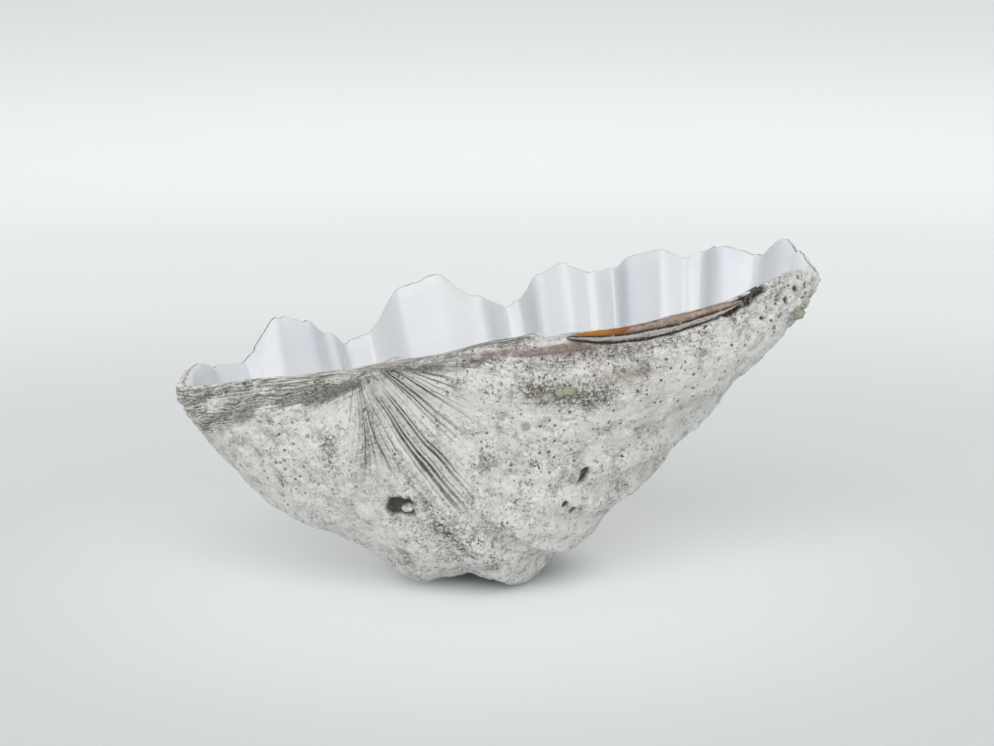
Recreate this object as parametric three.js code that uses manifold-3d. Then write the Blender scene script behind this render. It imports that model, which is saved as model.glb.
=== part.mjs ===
// Giant clam shell: one left valve lying on its belly, hinge towards -Y, bowl open upwards.
// Millimetres, +Z up. The valve is grown from its beak: every point of its outside lies on a
// growth ray from the beak to the margin, and the rays are folded into deep radial ribs.

import * as THREE from 'three';
import { mergeVertices } from 'three/addons/utils/BufferGeometryUtils.js';
import Module from 'manifold-3d';

// ---------------------------------------------------------------- driving dimensions

// Where the valve starts to grow, and the middle of its bowl. In this frame x runs along
// the hinge, y towards the scalloped ventral margin and z out of the bowl.
const BEAK = new THREE.Vector3(0, 0, -24);
const BOWL_CENTRE = new THREE.Vector3(130, 170, -60);

// Growth rays at eleven stations round the margin: the shoulder, the belly and the margin point.
const RAYS = [
  { name: 'lunule', shoulder: [0, 2, -19], belly: [0, 8, -17], margin: [2, 14, -12] },
  { name: 'front hinge edge', shoulder: [-25, -4, -36], belly: [-84, 10, -44], margin: [-94, 32, -14] },
  { name: 'front tip', shoulder: [-60, -15, -80], belly: [-198, 30, -82], margin: [-202, 95, -12] },
  { name: 'front flank', shoulder: [-45, -40, -175], belly: [-138, 105, -242], margin: [-152, 225, -12] },
  { name: 'first belly rib', shoulder: [10, -50, -268], belly: [-5, 190, -350], margin: [-28, 312, -12] },
  { name: 'second belly rib', shoulder: [75, -70, -304], belly: [120, 212, -376], margin: [110, 345, -12] },
  { name: 'third rib', shoulder: [118, -70, -280], belly: [222, 195, -323], margin: [255, 330, -10] },
  { name: 'back flank', shoulder: [138, -60, -220], belly: [327, 140, -226], margin: [380, 262, 0] },
  { name: 'back tip', shoulder: [140, -45, -152], belly: [372, 60, -130], margin: [452, 145, -14] },
  { name: 'back hinge edge', shoulder: [125, -30, -90], belly: [285, 0, -92], margin: [352, 45, -22] },
  { name: 'ligament edge', shoulder: [60, -8, -36], belly: [110, -4, -42], margin: [160, 8, -20] },
];
const STATIONS = RAYS.length;

// Radial folds, by station: how far each crest or hollow stands out on the belly and at the
// margin, and how far the margin reaches up there. Ribs stand out, the lobes of the margin
// between them reach up; along the hinge the margin only wavers.
const FOLDS = [
  { at: 0.0, belly: 0, margin: 0, rise: 0 },
  { at: 1.3, belly: 0, margin: 0, rise: 4 },
  { at: 1.75, belly: 0, margin: 0, rise: 3 },
  { at: 2.1, belly: -5, margin: -4, rise: 5 },
  { at: 2.52, belly: 0, margin: 0, rise: 13 },
  { at: 2.75, belly: 10, margin: 10, rise: 4 },
  { at: 3.0, belly: 5, margin: 8, rise: -2 },
  { at: 3.28, belly: -13, margin: -17, rise: 32 },
  { at: 3.5, belly: -14, margin: -16, rise: 21 },
  { at: 3.7, belly: 0, margin: -2, rise: 3 },
  { at: 3.88, belly: 24, margin: 26, rise: -5 },
  { at: 4.06, belly: 26, margin: 28, rise: -2 },
  { at: 4.32, belly: -12, margin: -18, rise: 31 },
  { at: 4.6, belly: -35, margin: -27, rise: 35 },
  { at: 4.9, belly: -10, margin: -20, rise: 4 },
  { at: 5.14, belly: 26, margin: 28, rise: -3 },
  { at: 5.22, belly: 28, margin: 26, rise: 1 },
  { at: 5.42, belly: 12, margin: -18, rise: 16 },
  { at: 5.62, belly: -18, margin: -24, rise: 21 },
  { at: 5.8, belly: -8, margin: -6, rise: 11 },
  { at: 5.94, belly: 18, margin: 18, rise: 16 },
  { at: 6.16, belly: 4, margin: -14, rise: 15 },
  { at: 6.4, belly: -17, margin: -16, rise: 14 },
  { at: 6.56, belly: 6, margin: 4, rise: 5 },
  { at: 6.66, belly: 13, margin: 12, rise: 12 },
  { at: 6.92, belly: -12, margin: -12, rise: 7 },
  { at: 7.17, belly: 9, margin: 9, rise: 1 },
  { at: 7.48, belly: -6, margin: -6, rise: 16 },
  { at: 7.62, belly: -6, margin: -5, rise: 5 },
  { at: 7.8, belly: -2, margin: -2, rise: -8 },
  { at: 8.05, belly: 0, margin: 0, rise: -14 },
  { at: 8.35, belly: 0, margin: 0, rise: 4 },
  { at: 8.6, belly: 0, margin: 0, rise: 21 },
  { at: 9.05, belly: 0, margin: 0, rise: 9 },
  { at: 9.55, belly: 0, margin: 0, rise: 1 },
  { at: 9.95, belly: 0, margin: 0, rise: 11 },
  { at: 10.1, belly: 0, margin: 0, rise: 17 },
  { at: 10.35, belly: 0, margin: 0, rise: 19 },
  { at: 10.6, belly: 0, margin: 0, rise: 3 },
  { at: STATIONS, belly: 0, margin: 0, rise: 0 },
];
const FOLD_GROWTH = 1.6;      // the folds deepen with this power of the growth
const RISE_START = 0.55;      // growth at which the lobes of the margin start to reach up
const MARGIN_FOLDS_FROM = 0.55; // growth over which the folds of the belly turn into the margin's
const MARGIN_FOLDS_AT = 0.95;

// The wall, as a share of the distance to the bowl's centre.
const WALL_AT_LIP = 0.022;
const WALL_ON_BELLY = 0.02;
const WALL_UNDER_BEAK = 0.08;
const HINGE_PLATE = 0.15;     // extra width of the hinge plate
const HINGE_REACH = 1.5;      // stations over which the plate fades out

// The groove of the ligament, a long spindle on the outside just below the back hinge edge.
const LIGAMENT = { from: 8.95, to: 9.95, low: 0.89, high: 1.0, depth: 6, crown: 2.2 };
const BED_GAP = 0.4;          // air between the ligament and its bed

// How the valve lies: turned until its two belly ribs stand on the ground, which wears them flat.
const PITCH = -1.5;
const ROLL = 10.5;
const WORN = 3;

// Mesh fineness: steps round the margin over each stretch of stations, and along the rays.
const AROUND = [
  { from: 0, to: 2, steps: 16 },
  { from: 2, to: 5.5, steps: 38 },
  { from: 5.5, to: 8, steps: 34 },
  { from: 8, to: STATIONS, steps: 26 },
];
const OUTSIDE_RINGS = 19;
const GROOVE_RINGS = 5;
const LIP_RINGS = 3;
const INSIDE_RINGS = 12;
const LIGAMENT_STEPS = 24;
const LIGAMENT_STRIPS = 3;

// ---------------------------------------------------------------- growth of the valve

const ringOf = (key) =>
  new THREE.CatmullRomCurve3(RAYS.map((ray) => new THREE.Vector3(...ray[key])), true, 'catmullrom', 0.5);
const SHOULDER = ringOf('shoulder');
const BELLY = ringOf('belly');
const MARGIN = ringOf('margin');

const wrap = (u) => ((u % STATIONS) + STATIONS) % STATIONS;
const smooth = (t) => t * t * (3 - 2 * t);
const clamp01 = (t) => Math.min(1, Math.max(0, t));

function foldAt(u) {
  const next = FOLDS.findIndex((fold) => fold.at > u);
  const b = FOLDS[next < 0 ? FOLDS.length - 1 : next];
  const a = FOLDS[next < 0 ? FOLDS.length - 2 : next - 1];
  const share = smooth(clamp01((u - a.at) / (b.at - a.at)));
  const eased = (key) => a[key] + (b[key] - a[key]) * share;
  return { belly: eased('belly'), margin: eased('margin'), rise: eased('rise') };
}

// The ray at station u, as a cubic Bezier curve from the beak.
function rayAt(u) {
  const t = wrap(u) / STATIONS;
  return new THREE.CubicBezierCurve3(BEAK, SHOULDER.getPoint(t), BELLY.getPoint(t), MARGIN.getPoint(t));
}

// Direction out of the shell at station u and growth s.
function outward(u, s) {
  const growth = Math.max(s, 0.02);
  const along = rayAt(u).getTangent(growth);
  const step = 0.001;
  const round = rayAt(u + step).getPoint(growth).sub(rayAt(u - step).getPoint(growth));
  return new THREE.Vector3().crossVectors(along, round).normalize();
}

// The low side of the ligament's groove at station u: the groove narrows to a point at each end.
function grooveLow(u) {
  const share = clamp01((wrap(u) - LIGAMENT.from) / (LIGAMENT.to - LIGAMENT.from));
  return LIGAMENT.high - (LIGAMENT.high - LIGAMENT.low) * (0.25 + 0.75 * Math.sin(Math.PI * share) ** 0.6);
}

// How deep the ligament's groove is at station u and growth s.
function grooveDepth(u, s) {
  const along = (wrap(u) - LIGAMENT.from) / (LIGAMENT.to - LIGAMENT.from);
  const across = (s - grooveLow(u)) / (LIGAMENT.high - grooveLow(u));
  if (along <= 0 || along >= 1 || across <= 0 || across >= 1) return 0;
  return LIGAMENT.depth * Math.sqrt(Math.sin(Math.PI * along)) * Math.sin(Math.PI * across);
}

// A point of the outside, before the ligament's groove is sunk in it.
function plainOutside(u, s) {
  const ray = rayAt(u);
  const fold = foldAt(wrap(u));
  const turned = smooth(clamp01((s - MARGIN_FOLDS_FROM) / (MARGIN_FOLDS_AT - MARGIN_FOLDS_FROM)));
  const out = fold.belly + (fold.margin - fold.belly) * turned;
  const reach = fold.rise * clamp01((s - RISE_START) / (1 - RISE_START)) ** 2;
  return ray
    .getPoint(s)
    .addScaledVector(outward(u, s), out * s ** FOLD_GROWTH)
    .addScaledVector(ray.getTangent(1), reach);
}

function outside(u, s) {
  return plainOutside(u, s).addScaledVector(outward(u, s), -grooveDepth(u, s));
}

function inside(u, s) {
  const toHinge = Math.min(wrap(u), STATIONS - wrap(u));
  const plate = Math.exp(-((toHinge / HINGE_REACH) ** 2)) * (1 - 0.35 * (1 - s));
  const wall =
    WALL_AT_LIP + WALL_ON_BELLY * Math.sqrt(1 - s) + WALL_UNDER_BEAK * (1 - s) ** 2 + HINGE_PLATE * plate;
  return plainOutside(u, s).lerp(BOWL_CENTRE, wall);
}

// A point of the lip, from the outside at t = 0 over its rounded edge to the inside at t = 1.
function lip(u, t) {
  const outer = outside(u, 1);
  const inner = inside(u, 1);
  const width = Math.min(outer.distanceTo(inner), 9);
  return outer.lerp(inner, t).addScaledVector(rayAt(u).getTangent(1), 0.3 * width * Math.sin(Math.PI * t));
}

// ---------------------------------------------------------------- meshes

const stationList = AROUND.flatMap(({ from, to, steps }) =>
  Array.from({ length: steps }, (_, i) => from + ((to - from) * i) / steps));

// A closed mesh from rings of points, with one point at each end.
function meshFromRings(rings, start, end) {
  const size = rings[0].length;
  const points = [...rings.flat(), start, end];
  const startIndex = rings.length * size;
  const faces = [];
  for (let r = 0; r + 1 < rings.length; r += 1) {
    for (let i = 0; i < size; i += 1) {
      const j = (i + 1) % size;
      const [a, b, c, d] = [r * size + i, r * size + j, (r + 1) * size + j, (r + 1) * size + i];
      faces.push(d, c, b, d, b, a);
    }
  }
  const last = (rings.length - 1) * size;
  for (let i = 0; i < size; i += 1) {
    const j = (i + 1) % size;
    faces.push(startIndex, i, j, startIndex + 1, last + j, last + i);
  }
  const geometry = new THREE.BufferGeometry();
  geometry.setAttribute('position', new THREE.Float32BufferAttribute(points.flatMap((p) => p.toArray()), 3));
  geometry.setIndex(faces);
  return geometry;
}

function growValve() {
  const rings = [];
  for (let i = 1; i <= OUTSIDE_RINGS; i += 1) {
    rings.push(stationList.map((u) => outside(u, (LIGAMENT.low * i) / OUTSIDE_RINGS)));
  }
  for (let i = 1; i <= GROOVE_RINGS; i += 1) {
    rings.push(stationList.map((u) => outside(u, LIGAMENT.low + ((1 - LIGAMENT.low) * i) / GROOVE_RINGS)));
  }
  for (let i = 1; i <= LIP_RINGS; i += 1) {
    rings.push(stationList.map((u) => lip(u, i / (LIP_RINGS + 1))));
  }
  for (let i = INSIDE_RINGS; i >= 1; i -= 1) {
    rings.push(stationList.map((u) => inside(u, i / INSIDE_RINGS)));
  }
  return meshFromRings(rings, BEAK.clone(), inside(0, 0));
}

// The dried ligament: a crowned strip that lies in the groove. The bed that is cut for it is the
// same strip, swollen by a hair on every side.
function growLigament(swell) {
  const { from, to, high, depth, crown } = LIGAMENT;
  const endMargin = 0.05 * (to - from) - swell * 0.005;
  const at = (i, j, height) => {
    const u = from + endMargin + (to - from - 2 * endMargin) * (i / LIGAMENT_STEPS);
    const low = grooveLow(u);
    const edgeMargin = 0.14 * (high - low) - swell * 0.003;
    const s = low + edgeMargin + (high - low - 2 * edgeMargin) * (j / LIGAMENT_STRIPS);
    return plainOutside(u, s).addScaledVector(outward(u, s), height(grooveDepth(u, s)));
  };
  const bed = (groove) => -groove - swell;
  const top = (groove) => (crown * groove) / depth - 0.8 + swell;
  const rings = [];
  for (let i = 0; i <= LIGAMENT_STEPS; i += 1) {
    const row = [];
    for (let j = 0; j <= LIGAMENT_STRIPS; j += 1) row.push(at(i, j, bed));
    for (let j = LIGAMENT_STRIPS; j >= 0; j -= 1) row.push(at(i, j, top));
    rings.push(row);
  }
  const middle = (ring) =>
    ring.reduce((sum, p) => sum.add(p), new THREE.Vector3()).divideScalar(ring.length);
  return meshFromRings(rings, middle(rings[0]), middle(rings[LIGAMENT_STEPS]));
}

// ---------------------------------------------------------------- wearing the ribs flat

const wasm = await Module();
wasm.setup();

function toSolid(geometry) {
  const merged = geometry.clone();
  merged.deleteAttribute('normal');
  merged.deleteAttribute('uv');
  const clean = mergeVertices(merged, 0.001);
  const mesh = new wasm.Mesh({
    numProp: 3,
    vertProperties: Float32Array.from(clean.attributes.position.array),
    triVerts: Uint32Array.from(clean.index.array),
  });
  return new wasm.Manifold(mesh);
}

function toGeometry(solid) {
  const mesh = solid.getMesh();
  const geometry = new THREE.BufferGeometry();
  geometry.setAttribute('position', new THREE.BufferAttribute(Float32Array.from(mesh.vertProperties), 3));
  geometry.setIndex(new THREE.BufferAttribute(Uint32Array.from(mesh.triVerts), 1));
  return geometry;
}

// The pose, as a turn about the beak and a move that puts the middle of the footprint at the
// origin, with the worn flats on the ground.
function layingPose(geometry) {
  const turn = new THREE.Matrix4()
    .makeRotationX(THREE.MathUtils.degToRad(PITCH))
    .multiply(new THREE.Matrix4().makeRotationY(THREE.MathUtils.degToRad(-ROLL)));
  const turned = geometry.clone().applyMatrix4(turn);
  turned.computeBoundingBox();
  const { min, max } = turned.boundingBox;
  const move = new THREE.Matrix4()
    .makeTranslation(-(min.x + max.x) / 2, -(min.y + max.y) / 2, -min.z - WORN);
  return move.multiply(turn);
}

// The valve without what the ground has worn off it and without the bed of the ligament.
function finishValve(valveGeometry, bedGeometry) {
  const ground = new THREE.BoxGeometry(1000, 1000, 200).translate(0, 0, -100);
  return toGeometry(toSolid(valveGeometry).subtract(toSolid(ground)).subtract(toSolid(bedGeometry)));
}

// ---------------------------------------------------------------- the shell

const chalkyShell = new THREE.MeshStandardMaterial({ color: 0xb9bab6, roughness: 0.82, metalness: 0 });
const driedLigament = new THREE.MeshStandardMaterial({ color: 0x4c3a2c, roughness: 0.55, metalness: 0 });

const grown = growValve();
const pose = layingPose(grown);
const shell = new THREE.Group();

const bed = growLigament(BED_GAP).applyMatrix4(pose);
const valve = new THREE.Mesh(finishValve(grown.applyMatrix4(pose), bed), chalkyShell);
valve.name = 'valve';
shell.add(valve);

const ligament = new THREE.Mesh(growLigament(0).applyMatrix4(pose), driedLigament);
ligament.name = 'ligament';
shell.add(ligament);

export default shell;
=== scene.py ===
import math
from itertools import product

import bmesh
import bpy
import numpy as np
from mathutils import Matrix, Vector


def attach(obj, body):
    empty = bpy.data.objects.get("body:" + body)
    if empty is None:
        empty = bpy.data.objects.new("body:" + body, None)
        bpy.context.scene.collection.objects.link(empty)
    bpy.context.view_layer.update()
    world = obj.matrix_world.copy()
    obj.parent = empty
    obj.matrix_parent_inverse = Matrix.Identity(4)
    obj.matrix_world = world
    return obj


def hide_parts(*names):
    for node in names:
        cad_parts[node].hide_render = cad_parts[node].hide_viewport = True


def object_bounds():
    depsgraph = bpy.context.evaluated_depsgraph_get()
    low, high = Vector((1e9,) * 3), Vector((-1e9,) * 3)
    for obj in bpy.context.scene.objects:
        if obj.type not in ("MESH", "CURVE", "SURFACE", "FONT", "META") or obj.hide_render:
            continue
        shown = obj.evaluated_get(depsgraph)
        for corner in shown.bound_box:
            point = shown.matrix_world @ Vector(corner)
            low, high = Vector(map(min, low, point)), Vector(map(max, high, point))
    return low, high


bl_info = {
    "name": "Giant Clam Shell",
    "version": (1, 0, 0),
    "blender": (4, 5, 0),
    "location": "View3D > Sidebar > Clam Shell",
    "description": "Grows a giant clam valve with its dried ligament and sets it in a plain studio",
    "category": "Add Mesh",
}

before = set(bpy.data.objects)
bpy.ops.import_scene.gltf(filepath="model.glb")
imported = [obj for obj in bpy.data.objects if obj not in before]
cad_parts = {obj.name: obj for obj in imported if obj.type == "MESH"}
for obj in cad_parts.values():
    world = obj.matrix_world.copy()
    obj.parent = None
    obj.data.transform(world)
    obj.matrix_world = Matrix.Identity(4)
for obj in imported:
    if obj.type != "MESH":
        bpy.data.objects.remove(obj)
CAD_LOW, CAD_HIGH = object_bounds()

MM = 0.001

# ---------------------------------------------------------------- growth of the valve
# Millimetres in the valve's own frame: x along the hinge, y towards the scalloped margin,
# z out of the bowl. A growth ray runs from the beak over a shoulder and the belly to the margin.

BEAK = np.array((0.0, 0.0, -24.0))
BOWL_CENTRE = np.array((130.0, 170.0, -60.0))

RAYS = (
    # shoulder            belly               margin
    ((0, 2, -19), (0, 8, -17), (2, 14, -12)),                # lunule
    ((-25, -4, -36), (-84, 10, -44), (-94, 32, -14)),        # front hinge edge
    ((-60, -15, -80), (-198, 30, -82), (-202, 95, -12)),     # front tip
    ((-45, -40, -175), (-138, 105, -242), (-152, 225, -12)),  # front flank
    ((10, -50, -268), (-5, 190, -350), (-28, 312, -12)),     # first belly rib
    ((75, -70, -304), (120, 212, -376), (110, 345, -12)),    # second belly rib
    ((118, -70, -280), (222, 195, -323), (255, 330, -10)),   # third rib
    ((138, -60, -220), (327, 140, -226), (380, 262, 0)),     # back flank
    ((140, -45, -152), (372, 60, -130), (452, 145, -14)),    # back tip
    ((125, -30, -90), (285, 0, -92), (352, 45, -22)),        # back hinge edge
    ((60, -8, -36), (110, -4, -42), (160, 8, -20)),          # ligament edge
)
STATIONS = len(RAYS)
SHOULDER, BELLY, MARGIN = (np.array([ray[i] for ray in RAYS], float) for i in range(3))

# Radial folds: station, how far the fold stands out on the belly and at the margin, and how far
# the margin reaches up there.
FOLDS = np.array((
    (0.0, 0, 0, 0), (1.3, 0, 0, 4), (1.75, 0, 0, 3), (2.1, -5, -4, 5), (2.52, 0, 0, 13),
    (2.75, 10, 10, 4), (3.0, 5, 8, -2), (3.28, -13, -17, 32), (3.5, -14, -16, 21), (3.7, 0, -2, 3),
    (3.88, 24, 26, -5), (4.06, 26, 28, -2), (4.32, -12, -18, 31), (4.6, -35, -27, 35),
    (4.9, -10, -20, 4), (5.14, 26, 28, -3), (5.22, 28, 26, 1), (5.42, 12, -18, 16),
    (5.62, -18, -24, 21), (5.8, -8, -6, 11), (5.94, 18, 18, 16), (6.16, 4, -14, 15),
    (6.4, -17, -16, 14), (6.56, 6, 4, 5), (6.66, 13, 12, 12), (6.92, -12, -12, 7), (7.17, 9, 9, 1),
    (7.48, -6, -6, 16), (7.62, -6, -5, 5), (7.8, -2, -2, -8), (8.05, 0, 0, -14), (8.35, 0, 0, 4),
    (8.6, 0, 0, 21), (9.05, 0, 0, 9), (9.55, 0, 0, 1), (9.95, 0, 0, 11), (10.1, 0, 0, 17),
    (10.35, 0, 0, 19), (10.6, 0, 0, 3), (STATIONS, 0, 0, 0),
))
# Folds grow with this power of the growth; the margin's reach starts at RISE_START.
FOLD_GROWTH = 1.6
RISE_START = 0.55
MARGIN_FOLDS_FROM, MARGIN_FOLDS_AT = 0.55, 0.95

# The wall, as shares of the way from the outside to the bowl's centre, and the hinge plate's reach
# in stations.
WALL_AT_LIP = 0.022
WALL_ON_BELLY = 0.02
WALL_UNDER_BEAK = 0.08
HINGE_PLATE = 0.15
HINGE_REACH = 1.5

# The ligament's groove: its stations, the growth of its low edge and of the rim, depth in mm.
GROOVE_FROM, GROOVE_TO = 8.95, 9.95
GROOVE_LOW, GROOVE_HIGH = 0.89, 1.0
GROOVE_DEPTH = 6.0

PITCH, ROLL = math.radians(-1.5), math.radians(10.5)
# How far the belly ribs that it rests on are worn flat, in mm.
WORN = 3.0


def clamp01(value):
    return np.clip(value, 0.0, 1.0)


def ease(value):
    value = clamp01(value)
    return value * value * (3 - 2 * value)


def ring(points, station):
    """A closed smooth curve through the points, one point to a station."""
    index = np.floor(station).astype(int)
    t = (station - index)[..., None]
    a, b, c, d = (points[(index + k) % STATIONS] for k in (-1, 0, 1, 2))
    return 0.5 * (2 * b + (c - a) * t + (2 * a - 5 * b + 4 * c - d) * t**2 + (3 * b - a - 3 * c + d) * t**3)


def eased_table(rows, column, station):
    """Values of one column of a table, eased from row to row."""
    at = rows[:, 0]
    index = np.clip(np.searchsorted(at, station, side="right") - 1, 0, len(at) - 2)
    share = ease((station - at[index]) / (at[index + 1] - at[index]))
    return rows[index, column] * (1 - share) + rows[index + 1, column] * share


def ray_point(station, growth):
    s = growth[..., None]
    r = 1 - s
    return (r**3 * BEAK + 3 * r * r * s * ring(SHOULDER, station)
            + 3 * r * s * s * ring(BELLY, station) + s**3 * ring(MARGIN, station))


def unit(vectors):
    return vectors / (np.linalg.norm(vectors, axis=-1, keepdims=True) + 1e-12)


def outward(station, growth):
    """Direction out of the shell."""
    growth = np.clip(growth, 0.02, 1.0)
    step = 0.001
    along = ray_point(station, growth) - ray_point(station, growth - step)
    around = ray_point(station + step, growth) - ray_point(station - step, growth)
    return unit(np.cross(along, around))


def margin_way(station):
    """Direction in which the margin grows."""
    return unit(ring(MARGIN, station) - ring(BELLY, station))


def plain_outside(station, growth, extra_rise=0.0):
    """The folded outside of the valve, before any relief."""
    wrapped = station % STATIONS
    turned = ease((growth - MARGIN_FOLDS_FROM) / (MARGIN_FOLDS_AT - MARGIN_FOLDS_FROM))
    out = eased_table(FOLDS, 1, wrapped) * (1 - turned) + eased_table(FOLDS, 2, wrapped) * turned
    out = out * growth**FOLD_GROWTH
    rise = eased_table(FOLDS, 3, wrapped) + extra_rise
    reach = rise * clamp01((growth - RISE_START) / (1 - RISE_START)) ** 2
    return (ray_point(station, growth) + outward(station, growth) * out[..., None]
            + margin_way(station) * reach[..., None])


def hinge_share(station):
    """1 at the beak's station, fading out along the hinge plate."""
    wrapped = station % STATIONS
    return np.exp(-((np.minimum(wrapped, STATIONS - wrapped) / HINGE_REACH) ** 2))


def wall_share(station, growth):
    """How far the inside lies from the outside, as a share of the way to the bowl's centre."""
    plate = hinge_share(station) * (1 - 0.35 * (1 - growth))
    return (WALL_AT_LIP + WALL_ON_BELLY * np.sqrt(1 - growth)
            + WALL_UNDER_BEAK * (1 - growth) ** 2 + HINGE_PLATE * plate)


def groove_low(station):
    along = clamp01((station - GROOVE_FROM) / (GROOVE_TO - GROOVE_FROM))
    return GROOVE_HIGH - (GROOVE_HIGH - GROOVE_LOW) * (0.25 + 0.75 * np.sin(np.pi * along) ** 0.6)


def groove_depth(station, growth):
    """Depth of the ligament's groove."""
    along = clamp01((station - GROOVE_FROM) / (GROOVE_TO - GROOVE_FROM))
    low = groove_low(station)
    across = clamp01((growth - low) / (GROOVE_HIGH - low))
    return GROOVE_DEPTH * np.sqrt(np.sin(np.pi * along)) * np.sin(np.pi * across)


# ---------------------------------------------------------------- how the valve lies

def turn(points):
    """From the valve's own frame to the way it lies, still about the beak."""
    cr, sr, cp, sp = math.cos(ROLL), math.sin(ROLL), math.cos(PITCH), math.sin(PITCH)
    roll = np.array(((cr, 0, -sr), (0, 1, 0), (sr, 0, cr)))
    pitch = np.array(((1, 0, 0), (0, cp, -sp), (0, sp, cp)))
    return points @ (pitch @ roll).T


def lying_offset():
    """Millimetres from the turned valve to the frame's origin, from the bare valve's own box."""
    station, growth = np.meshgrid(np.linspace(0, STATIONS, 440), np.linspace(0.02, 1, 160))
    turned = turn(plain_outside(station, growth)).reshape(-1, 3)
    low, high = turned.min(0), turned.max(0)
    middle = (np.array(CAD_LOW) + np.array(CAD_HIGH)) / (2 * MM)
    return np.array((middle[0] - (low[0] + high[0]) / 2, middle[1] - (low[1] + high[1]) / 2, -low[2] - WORN))


OFFSET = lying_offset()


def lie(points):
    """Points of the valve, in metres, where it lies."""
    return (turn(points) + OFFSET) * MM


# ---------------------------------------------------------------- natural variation

def scatter(cells, seed):
    """A fixed number from 0 to 1 for each cell of a lattice."""
    x, y, z = (cells[..., i].astype(np.int64) for i in range(3))
    h = (x * 374761393 + y * 668265263 + z * 1442695041 + seed * 974634777) & 0xFFFFFFFF
    h = ((h ^ (h >> 13)) * 1274126177) & 0xFFFFFFFF
    return ((h ^ (h >> 16)) & 0xFFFFFFFF) / 0xFFFFFFFF


def lumps(points, size, seed=0):
    """Smooth noise from -1 to 1 with lumps of the given size."""
    place = points / size + seed * 7.31
    cell = np.floor(place).astype(np.int64)
    t = place - cell
    t = t * t * t * (t * (t * 6 - 15) + 10)
    total = np.zeros(points.shape[:-1])
    for corner in product((0, 1), repeat=3):
        weight = np.prod(np.where(np.array(corner), t, 1 - t), axis=-1)
        total += weight * scatter(cell + np.array(corner), seed)
    return total * 2 - 1


def rough(points, size, octaves, seed=0, falloff=0.55):
    """Lumps on lumps, each half the size of the last."""
    return sum(lumps(points, size / 2**i, seed + i) * falloff**i for i in range(octaves))


def pits(points, spacing, radius, share, seed):
    """Depth 0 to 1 of round pits; share is the part of the places that has one."""
    depth = np.zeros(points.shape[:-1])
    cell = np.floor(points / spacing).astype(np.int64)
    for offset in product((-1, 0, 1), repeat=3):
        here = cell + np.array(offset)
        centre = np.stack([here[..., i] + scatter(here, seed + i) for i in range(3)], axis=-1) * spacing
        size = radius * (0.55 + 0.9 * scatter(here, seed + 3))
        away = np.linalg.norm(points - centre, axis=-1) / size
        hole = np.where(scatter(here, seed + 4) < share, clamp01(1 - away**2), 0)
        depth = np.maximum(depth, hole)
    return depth


def patch(station, growth, at, reach):
    """A soft spot on the valve, 1 in its middle."""
    du = (station - at[0] + STATIONS / 2) % STATIONS - STATIONS / 2
    return np.exp(-((du / reach[0]) ** 2) - ((growth - at[1]) / reach[1]) ** 2)


def patches(station, growth, spots):
    total = np.zeros(np.broadcast(station, growth).shape)
    for at, reach, strength in spots:
        total = np.maximum(total, strength * patch(station, growth, at, reach))
    return total


# ---------------------------------------------------------------- relief of the outside

# Borings: station and growth, half sizes round and along in mm, depth in mm.
BORINGS = (
    ((3.93, 0.202), (13.5, 10.0), 4.8),
    ((7.14, 0.388), (10.0, 4.6), 5.5),
    ((6.68, 0.372), (3.6, 2.6), 3.0),
    ((6.60, 0.396), (4.2, 2.6), 3.5),
    ((8.50, 0.948), (3.4, 2.8), 4.0),
    ((8.52, 0.916), (3.0, 3.2), 4.0),
    ((8.44, 0.876), (2.6, 3.0), 3.5),
    ((8.42, 0.968), (2.2, 2.2), 3.0),
    ((8.64, 0.868), (2.4, 2.4), 3.0),
    ((8.30, 0.930), (2.0, 2.6), 3.0),
)
# A chip of clean chalk left standing in the largest boring.
CHIP = ((4.14, 0.196), (4.0, 3.0))

# Paths over the outside, each a row of station and growth.
CORD = ((9.66, 0.912), (9.76, 0.897), (9.86, 0.874), (10.0, 0.862), (10.2, 0.85))
CORD_HALF, CORD_HEIGHT = 5.2, 3.4
SOCKET = ((9.05, 0.954), (8.97, 0.968), (8.91, 0.977), (8.86, 0.99))
SOCKET_HALF, SOCKET_DEPTH = 6.2, 7.0
# Dark marks: stains, and painted shade along a groove and under the limy growths.
STAINS_AND_SHADOWS = (
    # path, half width in mm, strength
    # painted shade along the groove between the first and second belly ribs
    (((4.36, 0.11), (4.5, 0.15), (4.56, 0.186)), 5.0, 0.6),
    (((4.66, 0.175), (4.64, 0.218), (4.86, 0.238), (5.0, 0.29)), 5.5, 0.9),
    (((2.32, 0.246), (2.5, 0.258), (2.66, 0.278)), 7.0, 1.0),
    # a grey stain, darkened further as painted shadow under the limy growths beside it
    (((9.3, 0.42), (9.08, 0.46), (8.86, 0.5)), 12.0, 1.2),
    (((3.0, 0.07), (3.2, 0.12), (3.1, 0.17)), 9.0, 0.75),
    (((9.75, 0.84), (9.4, 0.85), (9.1, 0.88)), 6.0, 0.6),
)

# The laminated front rim: middle and half width in stations, width in mm.
BAND_MIDDLE, BAND_HALF, BAND_WIDTH = 0.12, 1.08, 9.0
# Lamellae below it: reach and fade from the margin and width of one, in mm.
LAMELLAE_REACH, LAMELLAE_FADE, LAMELLA = 95.0, 50.0, 5.4
# They go on this many stations past the band.
LAMELLAE_PAST_BAND = 1.1
# Below this growth the shell is too young for relief.
YOUNG = 0.05

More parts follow.
